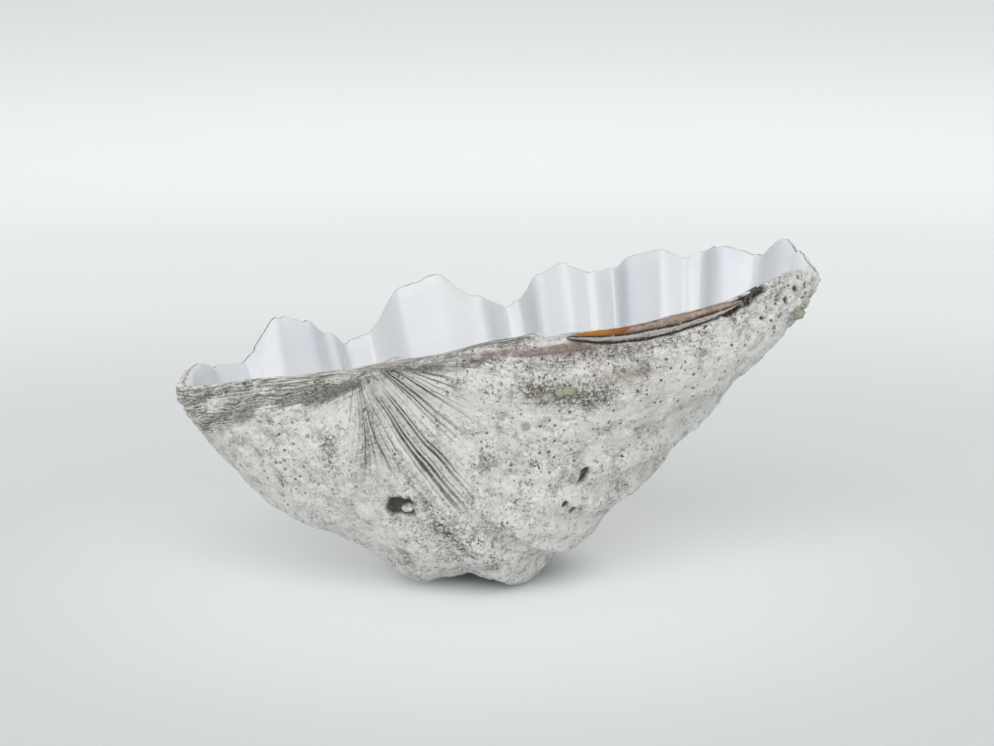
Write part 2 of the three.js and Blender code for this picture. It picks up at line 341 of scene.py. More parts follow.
# Where the outside changes character: place, reach and strength of each patch.
GRIMY = (
    ((9.4, 0.6), (0.9, 0.3), 0.5), ((10.4, 0.6), (0.6, 0.4), 0.4), ((0.5, 0.55), (1.0, 0.3), 0.3),
    ((1.4, 0.8), (0.8, 0.2), 0.1), ((3.6, 0.1), (1.1, 0.1), 0.55), ((5.6, 0.12), (1.4, 0.07), 0.4),
    ((5.2, 0.26), (1.3, 0.16), 0.75), ((7.6, 0.3), (1.1, 0.14), 0.35),
)
CHALKY = (
    ((2.3, 0.55), (0.75, 0.4), 1.0), ((8.15, 0.62), (0.75, 0.4), 1.5), ((8.2, 0.9), (0.4, 0.14), 0.5),
    ((5.6, 0.38), (1.9, 0.13), 0.8), ((3.4, 0.33), (0.6, 0.1), 0.7),
)
SPOTTED = (
    ((8.9, 0.5), (1.0, 0.35), 1.0), ((7.9, 0.3), (1.0, 0.2), 0.8), ((4.6, 0.28), (0.7, 0.12), 0.5),
    ((8.4, 0.88), (0.5, 0.2), 1.0), ((2.2, 0.45), (0.6, 0.3), 0.7),
)
ROSY = (
    ((9.9, 0.87), (0.34, 0.045), 1.0), ((10.15, 0.86), (0.24, 0.045), 0.9), ((9.15, 0.66), (0.16, 0.1), 0.5),
)
MOSSY = (
    ((9.14, 0.45), (0.2, 0.06), 0.9), ((1.7, 0.7), (0.4, 0.2), 0.3), ((8.16, 0.89), (0.12, 0.05), 0.9),
    ((7.9, 0.6), (0.25, 0.2), 0.35),
)
CRUSTY = (
    ((1.95, 0.95), (0.35, 0.16), 1.0), ((8.25, 0.95), (0.4, 0.12), 0.7), ((9.1, 0.46), (0.35, 0.09), 0.6),
)

# Heights and depths of the relief, in mm.
SWELL, SHRUNK = 1.5, 1.2
RIDGE_HEIGHT, RIBLET_DEPTH = 0.9, 2.3
BAND_HEIGHT, LAMINA_HEIGHT, LAMELLA_HEIGHT = 1.5, 0.45, 4.2
PIT_DEPTH, PRICK_DEPTH = 2.2, 1.3
CRUST_HEIGHT = 1.0

# The fan of riblets over the belly ribs, seen from the front and a little above: its focus, and
# each groove's angle from straight down, half width in degrees and strength.
FAN_TILT = math.radians(10.5)
FAN_FOCUS = (-0.1416, 0.2232)
FAN_GROWTH = 0.6
# Riblets bend as they run out: angle, and the degrees they gain over 100 mm.
FAN_BEND = (
    (-12, -10), (2, -12), (10, -6), (16, 8), (28, 7), (36, 4), (46, 0), (57, 0), (67, 8), (80, 8),
)
RIBLETS = (
    (-13.0, 0.8, 0.35), (-8.5, 0.6, 0.3), (-3.0, 1.0, 0.5), (1.5, 0.7, 0.35), (5.0, 0.6, 0.4),
    (8.5, 1.0, 0.6), (12.0, 0.7, 0.5), (15.0, 0.7, 0.75), (18.4, 0.5, 0.5), (21.6, 0.6, 0.6),
    (25.2, 0.5, 0.6), (27.7, 1.2, 1.0), (29.9, 0.9, 1.0), (31.8, 0.35, 0.6), (35.1, 0.8, 1.0),
    (37.0, 0.6, 0.9), (40.8, 0.35, 0.5), (45.4, 0.45, 0.8), (47.4, 0.8, 0.9), (50.2, 1.2, 1.0),
    (53.0, 0.35, 0.6), (56.4, 0.8, 1.0), (58.6, 0.35, 0.6), (61.5, 0.35, 0.5), (64.8, 0.5, 0.8),
    (68.4, 1.0, 1.0), (71.6, 0.4, 0.6),
)


def fan_place(station, growth):
    """Unbent angle about the fan's focus in degrees, and distance from it in mm; both stay over the belly."""
    place = lie(ray_point(station, np.minimum(growth, FAN_GROWTH)))
    across = place[..., 0] - FAN_FOCUS[0]
    down = FAN_FOCUS[1] - place[..., 2] * math.cos(FAN_TILT) - place[..., 1] * math.sin(FAN_TILT)
    angle, reach = np.degrees(np.arctan2(across, down)), np.hypot(across, down) / MM
    return angle - np.interp(angle, *zip(*FAN_BEND)) * (np.minimum(reach, 190) / 100 - 1), reach


def riblet_groove(angle, widened=1.0):
    """1 in the middle of the strongest riblets' grooves."""
    groove = np.zeros(angle.shape)
    for at, half, strength in RIBLETS:
        groove = np.maximum(groove, strength * np.exp(-(((angle - at) / (half * widened)) ** 2)))
    return groove


def from_path(points, path):
    """Distance in mm from a path over the plain outside, and how far along it from 0 to 1."""
    at = np.array(path, float)
    fine = np.linspace(0, len(at) - 1, 6 * (len(at) - 1) + 1)
    knots = plain_outside(*(np.interp(fine, np.arange(len(at)), at[:, i]) for i in (0, 1)))
    nearest = np.full(points.shape[:-1], np.inf)
    along = np.zeros(points.shape[:-1])
    for i, (start, end) in enumerate(zip(knots, knots[1:])):
        way = end - start
        t = clamp01((points - start) @ way / (way @ way))
        away = np.linalg.norm(points - start - t[..., None] * way, axis=-1)
        along = np.where(away < nearest, (i + t) / (len(knots) - 1), along)
        nearest = np.minimum(nearest, away)
    return nearest, along


def boring_share(points, at, half_round, half_along, wobble):
    """1 inside a boring with rough, steep walls."""
    u, s = (np.array(value) for value in at)
    centre = plain_outside(u, s)
    along = unit(plain_outside(u, s + 0.004) - centre)
    around = np.cross(along, outward(u, s))
    away = points - centre
    size = (np.abs(away @ around / half_round) ** 3 + np.abs(away @ along / half_along) ** 3) ** (1 / 3)
    near = np.linalg.norm(away, axis=-1) < 3 * max(half_round, half_along)
    return np.where(near, ease((1.2 + wobble - size) / 0.4), 0)


def borings(points):
    """Depth in mm and share of the listed borings, and share of the chip in the largest."""
    wobble = 0.25 * rough(points, 7, 2, seed=31)
    depth = np.zeros(points.shape[:-1])
    share = np.zeros(points.shape[:-1])
    for at, (half_round, half_along), deep in BORINGS:
        hole = boring_share(points, at, half_round, half_along, wobble)
        depth = np.maximum(depth, deep * hole)
        share = np.maximum(share, hole)
    chip = boring_share(points, CHIP[0], *CHIP[1], 2 * wobble)
    return depth * (1 - 0.8 * chip), share * (1 - chip)


def band_share(station):
    """1 along the laminated front rim."""
    du = (station - BAND_MIDDLE + STATIONS / 2) % STATIONS - STATIONS / 2
    return ease((BAND_HALF - np.abs(du)) / 0.14)


def fan_relief(station, growth, points):
    """Relief of the riblets in mm, where they hold, and their tints, among them painted shade along their
    broad grooves.
    """
    angle, reach = fan_place(station, growth)
    fade = (150 + 60 * np.exp(-(((angle - 29) / 12) ** 2))
            - 50 * ease((8 - angle) / 14) - 30 * ease((angle - 60) / 8))
    ribbed = (ease((angle + 17) / 6) * ease((78 - angle) / 6) * ease(growth / YOUNG)
              * ease((FAN_GROWTH - growth) / 0.14) * ease((fade - reach) / 45))
    angle = angle + 0.4 * lumps(points, 26, seed=4) + 0.2 * lumps(points, 9, seed=6)
    broken = clamp01(0.72 + 0.7 * lumps(points, 24, seed=5))
    ridges = lumps(np.stack([angle, growth * 6, 0 * growth], axis=-1), 2.4, seed=15)
    relief = ribbed * (RIDGE_HEIGHT * ridges - RIBLET_DEPTH * riblet_groove(angle) * broken)
    valley_shade = riblet_groove(angle, 2.3) * clamp01(0.6 + 0.8 * lumps(points, 18, seed=16))
    return relief, ribbed, {"fan": angle, "ribbed": ribbed * broken, "valley_shade": ribbed * valley_shade}


def layer_relief(station, growth, points, rim):
    """Relief of the growth layers in mm, a mask of painted shade in the hollows between them, and where they
    lie.
    """
    band = band_share(station)
    ragged_rim = rim + 1.6 * rough(points, 13, 3, seed=8)
    banded = band * ease(BAND_WIDTH - ragged_rim)
    laminae = rough(np.stack([station * 7, ragged_rim / 2.2, 0 * growth], axis=-1), 1.0, 2, seed=7)
    front = np.maximum(band, band_share(station - LAMELLAE_PAST_BAND))
    layered = (0.25 + 0.75 * front) * ease((LAMELLAE_REACH - rim) / LAMELLAE_FADE) * (1 - banded)
    age = rim / LAMELLA + 1.1 * rough(points, 34, 3, seed=9)
    layer = (age % 1.0) ** 1.8
    gaps = ease(0.5 + 1.4 * lumps(points * np.array((1.0, 1.0, 2.0)), 26, seed=10))
    slow_age = growth * 11 + 0.7 * rough(points, 80, 2, seed=12)
    shelf = (slow_age % 1.0) ** 2.2
    relief = (band * banded * (BAND_HEIGHT + LAMINA_HEIGHT * laminae)
              + layered * gaps * LAMELLA_HEIGHT * (layer - 0.5) + (0.25 + 0.6 * layered) * (shelf - 0.4))
    hollow = layered * gaps * (1 - layer) ** 5 + 0.4 * (0.3 + layered) * (1 - shelf) ** 8
    return relief, hollow, banded, layered


def cord_and_socket(points):
    """Shares of the cord before the ligament's thin end and of the socket at its thick end."""
    away, along = from_path(points, CORD)
    half = CORD_HALF * (1 - 0.45 * along) + 0.6 * lumps(points, 12, seed=27)
    cord = np.sqrt(clamp01(1 - (away / half) ** 2)) * ease((1 - along) / 0.2)
    away, _ = from_path(points, SOCKET)
    return cord, ease((SOCKET_HALF + 1.4 * rough(points, 8, 2, seed=28) - away) / 2.2)


def stains_and_shadows(points):
    """Strength of the listed dark marks: stains, and painted shadows."""
    dark_mark = np.zeros(points.shape[:-1])
    for path, half, strength in STAINS_AND_SHADOWS:
        away, _ = from_path(points, path)
        dark_mark = np.maximum(dark_mark, strength * np.exp(-((away / half) ** 2)))
    return dark_mark


def outside_relief(station, growth, points, rim):
    """Relief of the outside and how much of it is holes, in mm, with the tints that follow it, among them
    masks of painted shade in its hollows and grooves.

    rim is the way to the margin in mm.
    """
    spotted = patches(station, growth, SPOTTED)
    crusty = patches(station, growth, CRUSTY)
    riblets, ribbed, fan_tints = fan_relief(station, growth, points)
    layers, layer_gap_shade, banded, layered = layer_relief(station, growth, points, rim)
    crumble = rough(points, 15, 4, seed=20)
    craggy = 1 - 2.2 * np.abs(rough(points, 11, 3, seed=24))
    pitted = pits(points, 23, 3.4, 0.4, seed=40)
    pricked = pits(points, 10, 1.7, 0.42, seed=50)
    bored_depth, bored = borings(points)
    cord, socket = cord_and_socket(points)

    spots = 0.35 + 0.65 * spotted
    plain_ground = (1 - ribbed) * (1 - 0.8 * banded) * (1 - 0.7 * cord)
    relief = ease(growth / YOUNG) * (
        SWELL * rough(points, 95, 3, seed=1) - SHRUNK + riblets + layers
        + plain_ground * ((1.0 + 0.5 * layered) * crumble + (0.7 + 0.8 * crusty) * craggy)
        + crusty * (3.6 * rough(points, 11, 3, seed=26) + CRUST_HEIGHT)
        - (1 - 0.6 * ribbed) * spots * (PIT_DEPTH * pitted + PRICK_DEPTH * pricked)
        + CORD_HEIGHT * cord
    )
    holes = bored_depth + SOCKET_DEPTH * socket
    relief -= holes + 1.05 * groove_depth(station % STATIONS, growth)
    tints = fan_tints | {
        # painted shade and dirt in pits, pricks, gaps between layers and low crumbs
        "hollow": clamp01(0.9 * np.maximum(pitted, 0.85 * pricked) * spots + layer_gap_shade
                          + 0.7 * clamp01(-crumble - 0.2) * plain_ground),
        "bored": bored,
        "socket": socket,
        "banded": banded,
        "layered": layered,
        "rim": rim,
        "grimy": patches(station, growth, GRIMY),
        "stain_and_shadow": stains_and_shadows(points),
        "chalky": patches(station, growth, CHALKY),
        "spotted": spotted,
        "rosy": np.maximum(patches(station, growth, ROSY), cord),
        "mossy": patches(station, growth, MOSSY),
    }
    return relief, holes, tints


# ---------------------------------------------------------------- relief of the inside

# The muscle's scar: place, radius in mm, depth in mm.
MUSCLE_SCAR = ((7.35, 0.62), 52.0)
SCAR_DEPTH = 1.3
PALLIAL_LINE = 0.8
# Hinge teeth on the plate: station at the outside, lean, half width in stations, height in mm.
TEETH = ((10.78, 0.34, 0.055, 5.5), (10.62, 0.30, 0.06, -3.5), (0.16, 0.3, 0.07, -3.0))
LATERAL_TOOTH = (9.2, 10.3)
# Its ridge and the furrow beside it: place across the plate and height in mm.
LATERAL_RIDGES = ((0.62, 5.0), (0.4, -3.0))


def inside_relief(station, growth, points):
    """Relief of the porcelain inside, in mm into the bowl."""
    edge = ease((growth - 0.45) / 0.5)
    flutes = rough(np.stack([station * 26, growth * 4, 0 * growth], axis=-1), 9, 2, seed=60)
    flutes = flutes * (1 - hinge_share(station))
    u, s = np.array(MUSCLE_SCAR[0][0]), np.array(MUSCLE_SCAR[0][1])
    away = np.linalg.norm(points - plain_outside(u, s), axis=-1) / MUSCLE_SCAR[1]
    scar = ease((1.06 - away) / 0.08)
    ripples = np.sin(away * 40 + 2 * lumps(points, 30, seed=61))
    line = np.exp(-(((growth - PALLIAL_LINE - 0.012 * lumps(points, 60, seed=62)) / 0.006) ** 2))
    return (0.45 * flutes * edge + 0.9 * rough(points, 85, 2, seed=63)
            - scar * (SCAR_DEPTH + 0.12 * ripples) - 0.5 * line * (1 - hinge_share(station)))


def plate_relief(station, across):
    """Teeth and sockets of the hinge plate, in mm."""
    wrapped = station % STATIONS
    middle = np.sin(np.pi * across)
    relief = np.zeros(np.broadcast(station, across).shape)
    for at, lean, half, height in TEETH:
        du = (wrapped - at - lean * across + STATIONS / 2) % STATIONS - STATIONS / 2
        relief += height * middle * np.exp(-((du / half) ** 2))
    start, end = LATERAL_TOOTH
    length = ease((wrapped - start) / 0.2) * ease((end - wrapped) / 0.25)
    for at, height in LATERAL_RIDGES:
        relief += length * height * np.exp(-(((across - at) / 0.1) ** 2))
    return relief


# ---------------------------------------------------------------- meshes

GROWTH_MAP = "growth"


def grid_object(name, columns, rows, shape):
    """A closed object from a grid of columns by rows.

    shape(column, row) takes shares from 0 to 1 and gives places in metres, the two coordinates
    of the growth map, and the tints to keep on the mesh.
    """
    grid = bmesh.new()
    grid.loops.layers.uv.new(GROWTH_MAP)
    bmesh.ops.create_grid(grid, x_segments=columns, y_segments=rows, size=0.5, calc_uvs=True)
    mesh = bpy.data.meshes.new(name)
    grid.to_mesh(mesh)
    grid.free()

    count = len(mesh.vertices)
    flat = np.empty(count * 3)
    mesh.vertices.foreach_get("co", flat)
    flat = flat.reshape(-1, 3)
    column = np.rint((flat[:, 0] + 0.5) * columns).astype(int)
    row = np.rint((flat[:, 1] + 0.5) * rows).astype(int)
    places, growth_map, tints = shape(np.linspace(0, 1, columns + 1), np.linspace(0, 1, rows + 1))
    mesh.vertices.foreach_set("co", places[row, column].astype(np.float32).ravel())

    corner = np.empty(len(mesh.loops), int)
    mesh.loops.foreach_get("vertex_index", corner)
    uv = growth_map[row, column][corner]
    mesh.uv_layers[GROWTH_MAP].data.foreach_set("uv", uv.astype(np.float32).ravel())
    for tint, values in tints.items():
        layer = mesh.attributes.new(tint, "FLOAT", "POINT")
        layer.data.foreach_set("value", values[row, column].astype(np.float32))

    closed = bmesh.new()
    closed.from_mesh(mesh)
    bmesh.ops.remove_doubles(closed, verts=closed.verts, dist=1e-6)
    bmesh.ops.recalc_face_normals(closed, faces=closed.faces)
    for face in closed.faces:
        face.smooth = True
    closed.to_mesh(mesh)
    closed.free()
    piece = bpy.data.objects.new(name, mesh)
    bpy.context.scene.collection.objects.link(piece)
    return piece


def thin_out(piece, triangles):
    """Spends the triangles where the surface needs them."""
    mesh = piece.data
    mesh.calc_loop_triangles()
    thin = piece.modifiers.new("thin out", "DECIMATE")
    thin.ratio = triangles / len(mesh.loop_triangles)
    bpy.ops.object.select_all(action="DESELECT")
    piece.select_set(True)
    bpy.context.view_layer.objects.active = piece
    bpy.ops.object.modifier_apply(modifier=thin.name)


# Columns of the valve's grid: share of them spent up to each station.
COLUMN_SHARES = ((0, 0), (2, 0.14), (5.5, 0.5), (8, 0.76), (STATIONS, 1))
OUTSIDE_SHARE, LIP_SHARE = 0.8, 0.03
BEAK_CROWDING = 1.12
THINNEST_WALL = 4.6
# The back end is stouter, because the borings there are deep: its place, reach and extra mm.
STOUT_AT, STOUT_REACH, STOUT = (8.5, 0.92), (0.45, 0.16), 4.2
# What is left of the wall, in mm, under the deepest hollow.
LEAST_SKIN = 2.2
# How far the inside gives way behind a hole, as a share of its depth: built, and counted on.
HOLE_BACKING, HOLE_SURE = 1.4, 0.8
# How round the lip is: its bulge as a share of its width in mm, up to the widest.
LIP_BULGE, WIDEST_BULGE = 0.34, 9
# How far the lip is worn down behind the ligament, in mm.
GROOVE_LIP_DROP = 3.2
# A notch and small peaks of the front rim: station, reach, height in mm.
RIM_PEAKS = ((10.0, 0.07, -5.0), (10.17, 0.06, 7.0), (10.32, 0.14, 5.0), (10.52, 0.1, 2.5))


def square_to(places, roughly):
    """Directions square to a closed grid of places, on the side of the rough directions."""
    along = np.gradient(places, axis=0)
    around = np.gradient(places, axis=1)
    around[:, 0] = around[:, -1] = places[:, 1] - places[:, -2]
    normal = unit(np.cross(along, around))
    return normal * np.where((normal * roughly).sum(-1) < 0, -1.0, 1.0)[..., None]


def rim_chips(station):
    """How far the margin stands up at its small peaks, or is broken away."""
    edge = plain_outside(station, np.ones_like(station))
    chips = -3.0 * clamp01(rough(edge, 12, 4, seed=70)) - 2.2 * clamp01(lumps(edge, 45, seed=71) - 0.2)
    peaks = sum(high * np.exp(-(((station - at) / reach) ** 2)) for at, reach, high in RIM_PEAKS)
    groove = ease((station - GROOVE_FROM) / 0.12) * ease((GROOVE_TO - station) / 0.12)
    return chips * (1 - hinge_share(station)) + peaks - GROOVE_LIP_DROP * groove


def valve_shape(column, row):
    """The whole valve: outside from the beak to the margin, over the lip, inside back to the pole."""
    station = np.interp(column, [share for _, share in COLUMN_SHARES], [at for at, _ in COLUMN_SHARES])
    on_outside = row <= OUTSIDE_SHARE
    on_lip = (row > OUTSIDE_SHARE) & (row < OUTSIDE_SHARE + LIP_SHARE)
    on_inside = ~on_outside & ~on_lip
    growth = np.where(
        row < OUTSIDE_SHARE + LIP_SHARE,
        clamp01(row / OUTSIDE_SHARE) ** BEAK_CROWDING,
        clamp01((1 - row) / (1 - OUTSIDE_SHARE - LIP_SHARE)),
    )
    across = clamp01((row - OUTSIDE_SHARE) / LIP_SHARE)
    u, s = np.meshgrid(station, growth)
    t = np.broadcast_to(across[:, None], u.shape)

    plain = plain_outside(u, s, np.broadcast_to(rim_chips(station), u.shape))
    away = outward(u, s)
    travelled = np.cumsum(np.linalg.norm(np.diff(plain, axis=0, prepend=plain[:1]), axis=-1), axis=0)
    rim = np.abs(travelled - travelled[np.flatnonzero(on_outside)[-1]])
    relief, holes, tints = outside_relief(u, s, plain, rim)

    to_bowl = BOWL_CENTRE - plain
    inner = plain + to_bowl * wall_share(u % STATIONS, s)[..., None]
    inner += unit(to_bowl) * inside_relief(u, s, plain)[..., None]
    across_wall = away.copy()
    across_wall[on_inside] = square_to(plain[on_inside], away[on_inside])
    wall = ((plain - inner) * across_wall).sum(-1)
    thinnest = THINNEST_WALL + STOUT * patch(u, s, STOUT_AT, STOUT_REACH)
    inner -= across_wall * np.maximum(thinnest + HOLE_BACKING * holes - wall, 0)[..., None]
    deepest = np.maximum(wall, thinnest + HOLE_SURE * holes) - LEAST_SKIN
    outer = plain + away * np.maximum(relief, -deepest)[..., None]

    last_outer = outer[np.flatnonzero(on_outside)[-1]]
    first_inner = inner[np.flatnonzero(on_inside)[0]]
    width = np.linalg.norm(first_inner - last_outer, axis=-1)
    bulge = LIP_BULGE * np.minimum(width, WIDEST_BULGE) * np.sin(np.pi * t) + plate_relief(u, t)
    lip = last_outer + (first_inner - last_outer) * t[..., None] + margin_way(u) * bulge[..., None]

    kind = np.where(on_outside, 0, np.where(on_lip, 1, 2))[:, None, None]
    places = np.where(kind == 0, outer, np.where(kind == 1, lip, inner))
    places[-1] = places[-1].mean(axis=0)
    places[:, -1] = places[:, 0]
    places = np.clip(lie(places), np.array(CAD_LOW), np.array(CAD_HIGH))
    tints["inside"] = np.where(kind[..., 0] == 0, 0.0, np.where(kind[..., 0] == 1, 0.25 + 0.75 * t, 1.0))
    growth_map = np.stack([u / STATIONS, s], axis=-1)
    return places, growth_map, tints


# Height of the dried ligament's ribbons across it, from its low edge to the rim, in mm.
RIBBONS = ((0.1, 0.07, 0.9), (0.34, 0.12, 1.5), (0.8, 0.17, 3.0))
LIGAMENT_FROM, LIGAMENT_TO = 8.99, 9.88
# Its half width as a share of the groove's width, and the share of its rows that lie on top.
LIGAMENT_HALF = 0.46
TOP_SHARE = 0.7
# How high it may stand, and how far it leans over the lip, in mm.
HIGHEST, OVER_THE_LIP = 2.6, 3.4


def ligament_shape(column, row):
    """The dried ligament: horny ribbons with a pale layer between them, round and closed."""
    a, around = np.meshgrid(column, row)
    station = LIGAMENT_FROM + (LIGAMENT_TO - LIGAMENT_FROM) * a
    taper = clamp01(np.sin(np.pi * a)) ** 0.35
    on_top = around < TOP_SHARE
    across = np.where(on_top, around / TOP_SHARE, (1 - around) / (1 - TOP_SHARE))
    low = groove_low(station)
    middle = (GROOVE_HIGH + low) / 2
    half = LIGAMENT_HALF * (GROOVE_HIGH - low) * taper
    fray = 0.06 * rough(np.stack([a * 60, around * 3, 0 * a], axis=-1), 5, 3, seed=80)
    growth = middle + half * (2 * across - 1 + fray * on_top)
    sunk = groove_depth(station, growth)
    ribbons = sum(high * np.exp(-(((across - at) / reach) ** 2)) for at, reach, high in RIBBONS)
    fibres = rough(np.stack([a * 18, across * 44, 0 * a], axis=-1), 4, 3, seed=81)
    top = np.minimum(taper * (ribbons + 0.55 * fibres - 1.1), HIGHEST)
    points = plain_outside(station, growth)
    points += outward(station, growth) * np.where(on_top, top, 0.25 - sunk)[..., None]
    points += margin_way(station) * (OVER_THE_LIP * taper * ease((across - 0.7) / 0.3) * on_top)[..., None]
    places = np.clip(lie(points), np.array(CAD_LOW), np.array(CAD_HIGH))
    ends = (column == 0) | (column == 1)
    places[:, ends] = places[:, ends].mean(axis=0, keepdims=True)
    places[-1] = places[0]
    growth_map = np.stack([a, across], axis=-1)
    return places, growth_map, {"across": across, "along": a}


# ---------------------------------------------------------------- finishes

class Finish:
    """A material's nodes, with short calls for the few kinds that the shell needs."""

    def __init__(self, name, ground):
        self.material = bpy.data.materials.new(name)
        self.material.use_nodes = True
        self.tree = self.material.node_tree
        self.tree.nodes.clear()
        output = self.tree.nodes.new("ShaderNodeOutputMaterial")
        self.shader = self.tree.nodes.new("ShaderNodeBsdfPrincipled")
        self.tree.links.new(self.shader.outputs["BSDF"], output.inputs["Surface"])
        self.place = self.tree.nodes.new("ShaderNodeTexCoord").outputs["Object"]
        self.colour = ground

    def feed(self, socket, value):
        if isinstance(value, bpy.types.NodeSocket):
            self.tree.links.new(value, socket)
        else:
            socket.default_value = value

    def math(self, operation, a, b=0.0, clamp=False):
        node = self.tree.nodes.new("ShaderNodeMath")
        node.operation = operation
        node.use_clamp = clamp
        self.feed(node.inputs[0], a)
        self.feed(node.inputs[1], b)
        return node.outputs[0]

    def times(self, *factors):
        value = factors[0]
        for factor in factors[1:]:
            value = self.math("MULTIPLY", value, factor)
        return value

    def plus(self, *terms):
        value = terms[0]
        for term in terms[1:]:
            value = self.math("ADD", value, term)
        return value

    def mix(self, share, a, b):
        node = self.tree.nodes.new("ShaderNodeMix")
        node.data_type = "RGBA"
        self.feed(node.inputs[0], share)
        self.feed(node.inputs[6], a)
        self.feed(node.inputs[7], b)
        return node.outputs[2]

    def step(self, value, low, high, to_low=0.0, to_high=1.0):
        node = self.tree.nodes.new("ShaderNodeMapRange")
        node.interpolation_type = "SMOOTHSTEP"
        for socket, number in zip(node.inputs[:5], (value, low, high, to_low, to_high)):
            self.feed(socket, number)
        return node.outputs[0]

    def tint(self, name):
        node = self.tree.nodes.new("ShaderNodeAttribute")
        node.attribute_name = name
        return node.outputs["Fac"]

    def stretched(self, vector, scale):
        node = self.tree.nodes.new("ShaderNodeMapping")
        self.feed(node.inputs["Vector"], vector)
        node.inputs["Scale"].default_value = scale
        return node.outputs[0]

    def split(self, vector):
        node = self.tree.nodes.new("ShaderNodeSeparateXYZ")
        self.feed(node.inputs[0], vector)
        return node.outputs

    def joined(self, x, y=0.0):
        node = self.tree.nodes.new("ShaderNodeCombineXYZ")
        self.feed(node.inputs[0], x)
        self.feed(node.inputs[1], y)
        return node.outputs[0]

    def along_growth(self, scale):
        node = self.tree.nodes.new("ShaderNodeUVMap")
        node.uv_map = GROWTH_MAP
        return self.stretched(node.outputs[0], scale)

    def flow(self, round_scale, rim_scale):
        """Coordinates that run round the valve and, in mm, away from its margin."""
        split = self.split(self.along_growth((round_scale, 1, 1)))
        return self.joined(split[0], self.times(self.tint("rim"), rim_scale))

    def noise(self, vector, scale, detail=4.0, roughness=0.55, distortion=0.0):
        node = self.tree.nodes.new("ShaderNodeTexNoise")
        self.feed(node.inputs["Vector"], vector)
        node.inputs["Scale"].default_value = scale
        node.inputs["Detail"].default_value = detail
        node.inputs["Roughness"].default_value = roughness
        node.inputs["Distortion"].default_value = distortion
        return node.outputs["Fac"]

    def spots(self, vector, scale, radius, share):
        """Soft round spots: 1 in a spot, for the given share of the cells."""
        node = self.tree.nodes.new("ShaderNodeTexVoronoi")
        self.feed(node.inputs["Vector"], vector)
        node.inputs["Scale"].default_value = scale
        split = self.tree.nodes.new("ShaderNodeSeparateColor")
        self.tree.links.new(node.outputs["Color"], split.inputs[0])
        size = self.step(split.outputs[1], 0.0, 1.0, radius * 0.5, radius * 1.3)
        inside = self.math("SUBTRACT", 1.0, self.math("DIVIDE", node.outputs["Distance"], size))
        chosen = self.math("LESS_THAN", split.outputs[0], share)
        return self.times(self.step(inside, 0.0, 0.35), chosen)

    def ramp(self, value, stops):
        node = self.tree.nodes.new("ShaderNodeValToRGB")
        self.feed(node.inputs[0], value)
        elements = node.color_ramp.elements
        while len(elements) < len(stops):
            elements.new(1.0)
        for element, (position, colour) in zip(elements, stops):
            element.position = position
            element.color = colour
        return node.outputs[0]

    def coat(self, share, colour):
        """Lays a colour over what is there, for the given share."""
        self.colour = self.mix(share, self.colour, colour)

    def done(self, roughness, height, depth):
        """Gives the shader the coats laid so far, its roughness and its fine relief, depth in metres."""
        self.feed(self.shader.inputs["Base Color"], self.colour)
        self.feed(self.shader.inputs["Roughness"], roughness)
        node = self.tree.nodes.new("ShaderNodeBump")
        node.inputs["Distance"].default_value = depth
        self.feed(node.inputs["Height"], height)
        self.feed(self.shader.inputs["Normal"], node.outputs[0])
        return self.material


def grey(value):
    return (value, value, value, 1.0)


RAMP_STOPS = 32


def riblet_lines(finish, angle):
    """Sharp dark lines in the fan's marked grooves; a ramp holds ten of them."""
    low, high = RIBLETS[0][0] - 4, RIBLETS[-1][0] + 4
    place = finish.math("DIVIDE", finish.math("SUBTRACT", angle, low), high - low)
    marked = None
    most = RAMP_STOPS // 3
    for first in range(0, len(RIBLETS), most):
        stops = []
        for at, half, strength in RIBLETS[first:first + most]:
            for angle_at, value in ((at - half, 0.0), (at, strength), (at + half, 0.0)):
                stops.append(((angle_at - low) / (high - low), grey(value)))
        stops.sort(key=lambda stop: stop[0])
        lines = finish.ramp(place, stops)
        marked = lines if marked is None else finish.math("MAXIMUM", marked, lines)
    return marked


